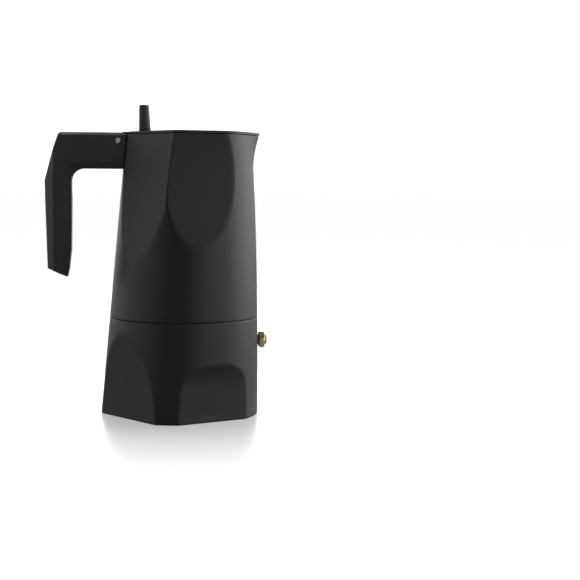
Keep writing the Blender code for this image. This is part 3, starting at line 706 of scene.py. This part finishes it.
def make_lid():
    bottom, top = LID_BOTTOM, LID_HIGH[2]
    ring_foot = bottom - 2.6
    inner = LID_RING_INSET + LID_RING_THICK
    edge = -LID_OVERHANG
    rings = [
        rim_outline(inner, bottom),
        rim_outline(inner, ring_foot + 0.3),
        rim_outline(inner - 0.3, ring_foot),
        rim_outline(LID_RING_INSET + 0.3, ring_foot),
        rim_outline(LID_RING_INSET, ring_foot + 0.3),
        rim_outline(LID_RING_INSET, bottom),
        rim_outline(edge + 0.2, bottom),
        rim_outline(edge, bottom + 0.2),
    ]
    for turn in QUARTER_TURN:
        rise = LID_FILLET * math.sin(math.radians(turn))
        draw = LID_FILLET * (1 - math.cos(math.radians(turn)))
        rings.append(rim_outline(edge + draw, top - LID_FILLET + rise))
    made = piece("lid_plate", *loft(rings), [COAT], "lid", "lid")
    front, behind_rim = LID_BACK + 3.0, -43.9
    outline = [(front, top - 0.1), (PIN_X + 3.4, top - 0.1)]
    outline += arc(PIN_X, PIN_Z, EAR_R, 70, 330, 48)
    outline += [(behind_rim, PIN_Z - 1.0), (behind_rim, bottom + 0.1), (front, bottom + 0.1)]
    for side in (-1, 1):
        low, high = sorted((side * EAR_IN, side * EAR_OUT))
        combine(made, prism(outline, low, high), "UNION")
    combine(made, cylinder_y(PIN_X, PIN_Z, PIN_R + GAP, EAR_OUT + 2))
    combine(made, cylinder_z(middle_x("knob_screw"), SCREW_HOLE_R, bottom - 2, top + 2))
    level_shading(made)


def make_knob():
    base, top = KNOB_LOW[2], KNOB_HIGH[2]
    foot_x = KNOB_LOW[0] + KNOB_BASE_R
    top_x = foot_x - KNOB_LEAN
    fillet_top, fillet_base = 0.7, 0.35
    rings = []
    for draw, rise in ((1.0, 0.0), (0.3, 0.3), (0.0, 1.0)):
        radius = KNOB_BASE_R - fillet_base * draw
        rings.append(circle(radius, base + fillet_base * rise, 96, (foot_x, 0.0)))
    for z in heights(base + 3.0, top - fillet_top, 2.0):
        t = (z - base) / (top - base)
        radius = KNOB_BASE_R + (KNOB_TOP_R - KNOB_BASE_R) * t
        rings.append(circle(radius, z, 96, (foot_x + (top_x - foot_x) * t, 0.0)))
    for turn in QUARTER_TURN[1:]:
        draw = fillet_top * (1 - math.cos(math.radians(turn)))
        z = top - fillet_top + fillet_top * math.sin(math.radians(turn))
        rings.append(circle(KNOB_TOP_R - draw, z, 96, (top_x, 0.0)))
    made = piece("knob_moulding", *loft(rings), [PLASTIC], "lid", "lid_knob")
    combine(made, cylinder_z(foot_x, SCREW_HOLE_R, base - 1, base + KNOB_HOLE))


def screw_piece(name, node, body, slot_half):
    """A slotted pan-head screw hanging head down, sized from its CAD node."""
    low, high = corners(node)
    x = middle_x(node)
    head_r, foot, tip = (high[0] - low[0]) / 2, low[2], high[2]
    profile = [(0.01, foot), (head_r - 1.0, foot + 0.1), (head_r - 0.3, foot + 0.5)]
    profile += [(head_r, foot + 1.0), (head_r, foot + SCREW_HEAD), (SCREW_R, foot + SCREW_HEAD)]
    profile += [(SCREW_R, tip - 0.4), (SCREW_R - 0.4, tip)]
    made = piece(name, *turned(profile, 64, False, (x, 0.0)), [STEEL], body, node)
    slot_reach, slot_depth = head_r + 1, 0.8
    slot_low = (x - slot_reach, -slot_half, foot - 1)
    combine(made, box(slot_low, (x + slot_reach, slot_half, foot + slot_depth)))


def washer_profile(inner, outer, low, high, edge):
    return rounded([(inner, low), (outer, low), (outer, high), (inner, high)], edge)


def make_knob_washer():
    low, high = corners("knob_washer")
    x = middle_x("knob_washer")
    washer = washer_profile(SCREW_HOLE_R, high[0] - x, low[2], high[2], 0.2)
    piece("knob_washer_disc", *turned(washer, 80, centre=(x, 0.0)), [STEEL], "lid", "knob_washer")


def make_hinge_pin():
    """A plain pin with slightly domed ends."""
    end, chamfer = corners("hinge_pin")[0][1], 0.25
    profile = [(0.01, end), (PIN_R - chamfer - 0.2, end), (PIN_R - chamfer, end + 0.03)]
    profile += [(PIN_R - 0.07, end + 0.1), (PIN_R, end + chamfer)]
    profile += [(r, -z) for r, z in reversed(profile)]
    points, faces = turned(profile, 64, closed=False)
    piece("hinge_pin_rod", along_y(points, PIN_X, PIN_Z), faces, [SATIN], "upper", "hinge_pin")


# ---------------------------------------------------------------- handle


def handle_outlines():
    """Matching side outlines: the full one, and the one drawn in by the bevels."""
    knee, tip, heel = 175.2, HANDLE_LOW[2], 110.0
    top, flat_top = HANDLE_TOP, HANDLE_TOP - 2.2
    low, flat_low = HANDLE_ARM_LOW, HANDLE_ARM_LOW + 5.0
    full = [(HANDLE_FRONT, top), *arc(-90.4, top - 3.7, 3.7, 90, 163, 8)]
    flat = [(HANDLE_FRONT, flat_top), *arc(-90.4, flat_top - 2.8, 2.8, 90, 163, 8)]
    full += [(-97.0, 199.5), (-103.4, knee), (-101.5, heel), (-87.0, tip), (-85.6, heel)]
    flat += [(-96.2, 199.5), (-97.0, knee), (-96.8, 108.2), (-92.0, 106.0), (-91.8, heel)]
    full += [(-84.0, 124.0), (-83.6, 150.0), (-83.5, 166.0)]
    flat += [(-91.2, 124.0), (-90.2, 150.0), (-89.6, 166.0)]
    full += arc(-74.5, 175.2, 9.0, 180, 90, 12)
    flat += arc(-78.0, 177.6, 11.0, 180, 90, 12)
    full[-1], flat[-1] = (-74.5, low), (-76.5, flat_low)
    full.append((HANDLE_FRONT, low))
    flat.append((HANDLE_FRONT, flat_low))
    return full, flat


def body_wedge():
    """The body's back swollen by the handle's clearance, carried straight up past the rim."""
    turns = np.radians(np.linspace(140.0, 220.0, 81))
    rings = []
    for z in [*heights(HANDLE_ARM_LOW - 6.0, RIM, 1.5), HANDLE_TOP + 5.0]:
        clear = float(np.interp(z, (HANDLE_ARM_LOW + 2.0, HANDLE_ARM_LOW + 8.0), HANDLE_CLEAR))
        radii = outer_radius(turns, min(z, RIM), CHAMBER_FACETS) + clear
        rings.append(level(turns, radii, z) + [(-10.0, -30.0, z), (-10.0, 30.0, z)])
    return loft(rings)


def make_handle():
    full, flat = handle_outlines()
    sections = (
        (flat, -HANDLE_HALF),
        (full, -HANDLE_FULL_HALF),
        (full, HANDLE_FULL_HALF),
        (flat, HANDLE_HALF),
    )
    rings = [[(x, y, z) for x, z in outline] for outline, y in sections]
    made = piece("handle_moulding", *loft(rings), [PLASTIC], "upper", "handle", sharp=20.0)
    combine(made, body_wedge())
    slot = box((SLOT_BACK, -SLOT_HALF, SLOT_FLOOR), (-30.0, SLOT_HALF, HANDLE_TOP + 5))
    combine(made, slot)
    soften(made, HANDLE_EDGE, 4, 24.0)
    combine(made, cylinder_y(PIN_X, PIN_Z, PIN_R + GAP, HANDLE_HALF + 2))
    x, below = middle_x("handle_screw"), HANDLE_ARM_LOW - 4.2
    head_r = corners("handle_screw")[1][0] - x
    combine(made, cylinder_z(x, SCREW_HOLE_R, below, SLOT_FLOOR + 2))
    combine(made, cylinder_z(x, head_r + GAP, below, HANDLE_SCREW_SEAT))
    made.data.shade_smooth()
    made.data.set_sharp_from_angle(angle=math.radians(40.0))
    level_shading(made)


# ---------------------------------------------------------------- valve


def hexagon(half_flat, z):
    corner = half_flat / math.cos(math.pi / 6)
    return circle(corner, z, 6, start=math.pi / 6)


def resampled(polygon, count):
    """A polygon with extra points on its sides."""
    each = count // len(polygon)
    points = []
    for i, p in enumerate(polygon):
        q = polygon[(i + 1) % len(polygon)]
        points += [tuple(a + (b - a) * n / each for a, b in zip(p, q)) for n in range(each)]
    return points


def chamfered_hexagon(half_flat, z, reach):
    """A hexagon whose corners are turned off at a radius."""
    made = []
    for x, y, _ in resampled(hexagon(half_flat, z), 96):
        shrink = min(1.0, reach / math.hypot(x, y))
        made.append((x * shrink, y * shrink, z))
    return made


def make_valve():
    foot, length = VALVE_LOW[0], VALVE_HIGH[0] - VALVE_LOW[0]
    hex_from, hex_to = HEX_START - foot, HEX_END - foot
    corner = HEX_FLAT / math.cos(math.pi / 6)

    def ring(radius, z):
        return circle(radius, z, 96, start=math.pi / 6)

    rings = [
        ring(VALVE_SEAT, 0.0),
        ring(SHANK_R - 0.4, 0.0),
        ring(SHANK_R, 0.5),
        ring(SHANK_R, hex_from),
        chamfered_hexagon(HEX_FLAT, hex_from, corner - 0.3),
        chamfered_hexagon(HEX_FLAT, hex_from + 0.2, corner - 0.08),
        chamfered_hexagon(HEX_FLAT, hex_to - 0.7, corner - 0.08),
        chamfered_hexagon(HEX_FLAT, hex_to - 0.3, HEX_FLAT + 0.3),
        chamfered_hexagon(HEX_FLAT, hex_to, HEX_FLAT - 0.35),
        ring(VALVE_END_R + 0.15, hex_to),
        ring(VALVE_END_R, hex_to + 0.15),
        ring(VALVE_END_R, length - 0.35),
        ring(VALVE_END_R - 0.12, length - 0.1),
        ring(VALVE_END_R - 0.35, length),
        ring(VALVE_BORE + 0.2, length),
        ring(VALVE_BORE, length - 0.2),
        ring(VALVE_BORE, 1.6),
        ring(VALVE_SEAT, 1.2),
    ]
    points, faces = loft(rings, closed=True)
    valve = along_x(points, foot, VALVE_Z)
    piece("valve_hexagon", valve, faces, [BRASS], "root", "valve_body", sharp=24.0)

    low, high = corners("valve_washer")
    washer = washer_profile(SHANK_R + GAP, high[1], 0, high[0] - low[0], 0.15)
    points, faces = turned(washer, 80)
    piece("valve_washer_ring", along_x(points, low[0], VALVE_Z), faces, [FIBRE], "root", "valve_washer")

    low, high = corners("valve_retainer")
    retainer = washer_profile(1.3, VALVE_BORE - GAP, 0, high[0] - low[0], 0.15)
    points, faces = turned(retainer, 64)
    piece("valve_retainer_ring", along_x(points, low[0], VALVE_Z), faces, [BRASS], "root", "valve_retainer")

    seat = corners("valve_seal")[0][0]
    head = [(0.01, 0.6), (1.8, 0.6), (2.3, 1.0), (2.3, 1.5), (2.2, 1.6), (1.0, 1.6), (1.0, 9.1)]
    head += [(0.9, 9.3), (0.01, 9.4)]
    points, faces = turned(head, 48, closed=False)
    piece("valve_plunger_rod", along_x(points, seat, VALVE_Z), faces, [STEEL], "valve", "valve_plunger")
    points, faces = turned(washer_profile(0.7, 2.2, 0.0, 0.3, 0.08), 48)
    piece("valve_seal_disc", along_x(points, seat, VALVE_Z), faces, [RUBBER], "valve", "valve_seal")


def make_spring():
    """The valve's coil spring, ends closed and flat to the eye."""
    low, high = corners("valve_spring")
    start, end = low[0] + SPRING_WIRE_R, high[0] - SPRING_WIRE_R
    per_turn, sides = 36, 12
    steps = SPRING_TURNS * per_turn
    rings = []
    for i in range(steps + 1):
        turn = 2 * math.pi * i / per_turn
        rise = start + (end - start) * i / steps
        section = []
        for side in range(sides):
            a = 2 * math.pi * side / sides
            reach, z = SPRING_R + SPRING_WIRE_R * math.cos(a), rise + SPRING_WIRE_R * math.sin(a)
            section.append((reach * math.cos(turn), reach * math.sin(turn), z))
        rings.append(section)
    points, faces = loft(rings)
    piece("valve_spring_coil", along_x(points, 0.0, VALVE_Z), faces, [STEEL], "root", "valve_spring")


# ---------------------------------------------------------------- funnel, seal and column


def perforated(name, node, body, pitch, hole_r, hole_limit):
    """A thin disc with rings of small round holes."""
    low, high = corners(node)
    work = bmesh.new()
    loops = [(0.0, 0.0, high[0], 128), (0.0, 0.0, hole_r, 12)]
    for n in range(1, int(hole_limit / pitch) + 1):
        for x, y, _ in circle(n * pitch, 0.0, 6 * n):
            loops.append((x, y, hole_r, 12))
    for x, y, r, count in loops:
        ring = [work.verts.new(p) for p in circle(r, low[2], count, (x, y))]
        for i in range(count):
            work.edges.new((ring[i], ring[(i + 1) % count]))
    bmesh.ops.triangle_fill(work, use_beauty=True, use_dissolve=False, edges=work.edges)
    work.verts.index_update()
    flat = [tuple(v.co) for v in work.verts]
    under = [tuple(v.index for v in face.verts) for face in work.faces]
    border = [(e.verts[0].index, e.verts[1].index) for e in work.edges if len(e.link_faces) == 1]
    work.free()
    count = len(flat)
    points = flat + [(x, y, high[2]) for x, y, _ in flat]
    faces = under + [tuple(count + i for i in reversed(face)) for face in under]
    faces += [(a, b, b + count, a + count) for a, b in border]
    piece(name, points, faces, [SPUN], body, node)


def make_funnel():
    low, high = FUNNEL_LOW[2], FUNNEL_HIGH[2]
    flange_r, cup_r, stem_r, wall = FUNNEL_HIGH[0], 34.0, 4.6, 0.8
    floor, cone_end = 57.0, 41.0
    profile = [
        (stem_r, low),
        (stem_r, cone_end),
        (cup_r, floor - 3.0),
        (cup_r, high - wall),
        (flange_r, high - wall),
        (flange_r, high),
        (cup_r - wall, high),
        (cup_r - wall, floor),
        (cup_r - wall - 1.2, floor),
        (cup_r - wall - 1.2, floor - 2.4),
        (stem_r - wall, cone_end + 0.3),
        (stem_r - wall, low),
    ]
    shape = turned(rounded(profile, 0.8, 4), 128)
    piece("funnel_cup", *shape, [SPUN], "root", "funnel_basket")
    perforated("funnel_screen_disc", "funnel_screen", "root", 4.1, 0.75, 31.0)


def make_seal():
    """The gasket, and the filter plate that it holds."""
    low, high = corners("gasket")
    inner, outer, base, top = 29.5, high[0], low[2], high[2]
    step_r = corners("filter_plate")[1][0] + GAP
    profile = [
        (inner, base),
        (outer, base),
        (outer, top),
        (step_r, top),
        (step_r, top - 1.0),
        (inner, top - 1.0),
    ]
    piece("gasket_ring", *turned(rounded(profile, 0.5, 4), 128), [RUBBER], "seal", "gasket")
    perforated("filter_disc", "filter_plate", "seal", 3.6, 0.7, 26.0)


def make_column():
    low, high = corners("coffee_column")
    foot = low[2] + 3.0
    profile = [
        (COLUMN_HOLE - GAP, low[2]),
        (COLUMN_HOLE - GAP, foot),
        (9.6, foot),
        (9.6, foot + 1.2),
        (7.6, foot + 3.0),
        (5.4, high[2] - 1.0),
        (4.8, high[2]),
        (3.4, high[2]),
        (3.4, foot + 4.0),
        (COLUMN_HOLE - GAP - 1.2, low[2]),
    ]
    shape = turned(rounded(profile, 0.6, 4), 96)
    piece("coffee_column_tube", *shape, [SPUN], "upper", "coffee_column")


# ---------------------------------------------------------------- studio


def make_floor():
    """A wide pale sheet, polished round the pot and matt further out, where it glows to white; round the
    pot the glow is kept weaker, which is painted shade.
    """
    signs = ((-1, -1), (1, -1), (1, 1), (-1, 1))
    outline = [(FLOOR_REACH * x, FLOOR_REACH * y, -FLOOR_DEPTH) for x, y in signs]
    floor = bpy.data.meshes.new("floor")
    floor.from_pydata(outline, [], [(0, 1, 2, 3)])
    look = Nodes("white_acrylic")
    look.colours(look.noise(3.0), (0.44, 0.44, 0.44), (0.46, 0.46, 0.46))
    look.shader.inputs["Roughness"].default_value = 0.4
    look.shader.inputs["Emission Color"].default_value = (1.0, 1.0, 1.0, 1.0)
    away = look.add("ShaderNodeVectorMath", operation="LENGTH")
    look.link(look.place, away.inputs[0])
    polish = look.spread(away.outputs["Value"], 0.5, 0.0, *POLISHED)
    look.link(polish, look.shader.inputs["Specular IOR Level"])
    # Painted glow for camera rays: weaker close to the pot, where it paints a soft shade round it, and near
    # white further out
    glow_and_painted_shade = look.add("ShaderNodeMath", operation="MULTIPLY")
    look.link(look.add("ShaderNodeLightPath").outputs["Is Camera Ray"], glow_and_painted_shade.inputs[0])
    look.link(look.spread(away.outputs["Value"], *FLOOR_GLOW_AND_PAINTED_SHADE, *POLISHED), glow_and_painted_shade.inputs[1])
    look.link(glow_and_painted_shade.outputs["Value"], look.shader.inputs["Emission Strength"])
    floor.materials.append(look.material)
    made = bpy.data.objects.new("floor", floor)
    bpy.context.scene.collection.objects.link(made)


def make_camera():
    data = bpy.data.cameras.new("camera")
    data.lens = LENS
    camera = bpy.data.objects.new("camera", data)
    camera.location = CAMERA_PLACE
    camera.rotation_euler = [math.radians(turn) for turn in CAMERA_TURN]
    bpy.context.scene.collection.objects.link(camera)
    bpy.context.scene.camera = camera


def make_softboxes():
    """Upright softboxes in a ring round the pot: azimuth in degrees from +X, and power in watts."""
    ring_of_lights = {
        0.0: 5.3, 22.5: 4.9, 45.0: 1.2, 90.0: 7.6, 112.5: 1.3, 157.5: 1.3,
        180.0: 1.8, 202.5: 1.2, 225.0: 0.8, 292.5: 0.8, 315.0: 2.7, 337.5: 1.3,
    }
    for azimuth, power in ring_of_lights.items():
        data = bpy.data.lights.new(f"softbox_{azimuth:.0f}", "AREA")
        data.shape = "RECTANGLE"
        data.size, data.size_y = SOFTBOX_WIDTH, SOFTBOX_HIGH - SOFTBOX_LOW
        data.energy = power
        light = bpy.data.objects.new(data.name, data)
        turn = math.radians(azimuth)
        x, y = SOFTBOX_DISTANCE * math.cos(turn), SOFTBOX_DISTANCE * math.sin(turn)
        light.location = (x, y, (SOFTBOX_LOW + SOFTBOX_HIGH) / 2)
        light.rotation_euler = (math.radians(90.0), 0.0, turn + math.radians(90.0))
        light.visible_camera = False
        bpy.context.scene.collection.objects.link(light)


def make_world():
    """A white backdrop: it lights the scene from low behind, and the camera sees it all round."""
    world = bpy.data.worlds.new("studio")
    world.use_nodes = True
    tree = world.node_tree
    sky = tree.nodes["Background"]
    sky.inputs["Color"].default_value = (1.0, 1.0, 1.0, 1.0)
    place = tree.nodes.new("ShaderNodeTexCoord")
    parts = tree.nodes.new("ShaderNodeSeparateXYZ")
    path = tree.nodes.new("ShaderNodeLightPath")
    tree.links.new(place.outputs["Generated"], parts.inputs["Vector"])

    def ranged(source, **limits):
        node = tree.nodes.new("ShaderNodeMapRange")
        for name, value in limits.items():
            node.inputs[name.replace("_", " ").title()].default_value = value
        tree.links.new(source, node.inputs["Value"])
        return node.outputs["Result"]

    def combined(operation, first, second):
        node = tree.nodes.new("ShaderNodeMath")
        node.operation = operation
        tree.links.new(first, node.inputs[0])
        tree.links.new(second, node.inputs[1])
        return node.outputs["Value"]

    behind = ranged(parts.outputs["Y"], from_min=0.25, from_max=0.75, to_min=0.0, to_max=BACKDROP)
    low = ranged(parts.outputs["Z"], from_min=0.3, from_max=0.6, to_min=1.0, to_max=0.0)
    lit = combined("MULTIPLY", behind, low)
    strength = combined("MAXIMUM", lit, path.outputs["Is Camera Ray"])
    tree.links.new(strength, sky.inputs["Strength"])
    bpy.context.scene.world = world
    bpy.context.scene.view_settings.view_transform = "Standard"


make_boiler()
make_chamber()
make_lid()
make_knob()
screw_piece("knob_screw_pan", "knob_screw", "lid", 0.45)
screw_piece("handle_screw_pan", "handle_screw", "upper", 0.4)
make_knob_washer()
make_hinge_pin()
make_handle()
make_valve()
make_spring()
make_funnel()
make_seal()
make_column()
make_floor()
make_camera()
make_softboxes()
make_world()
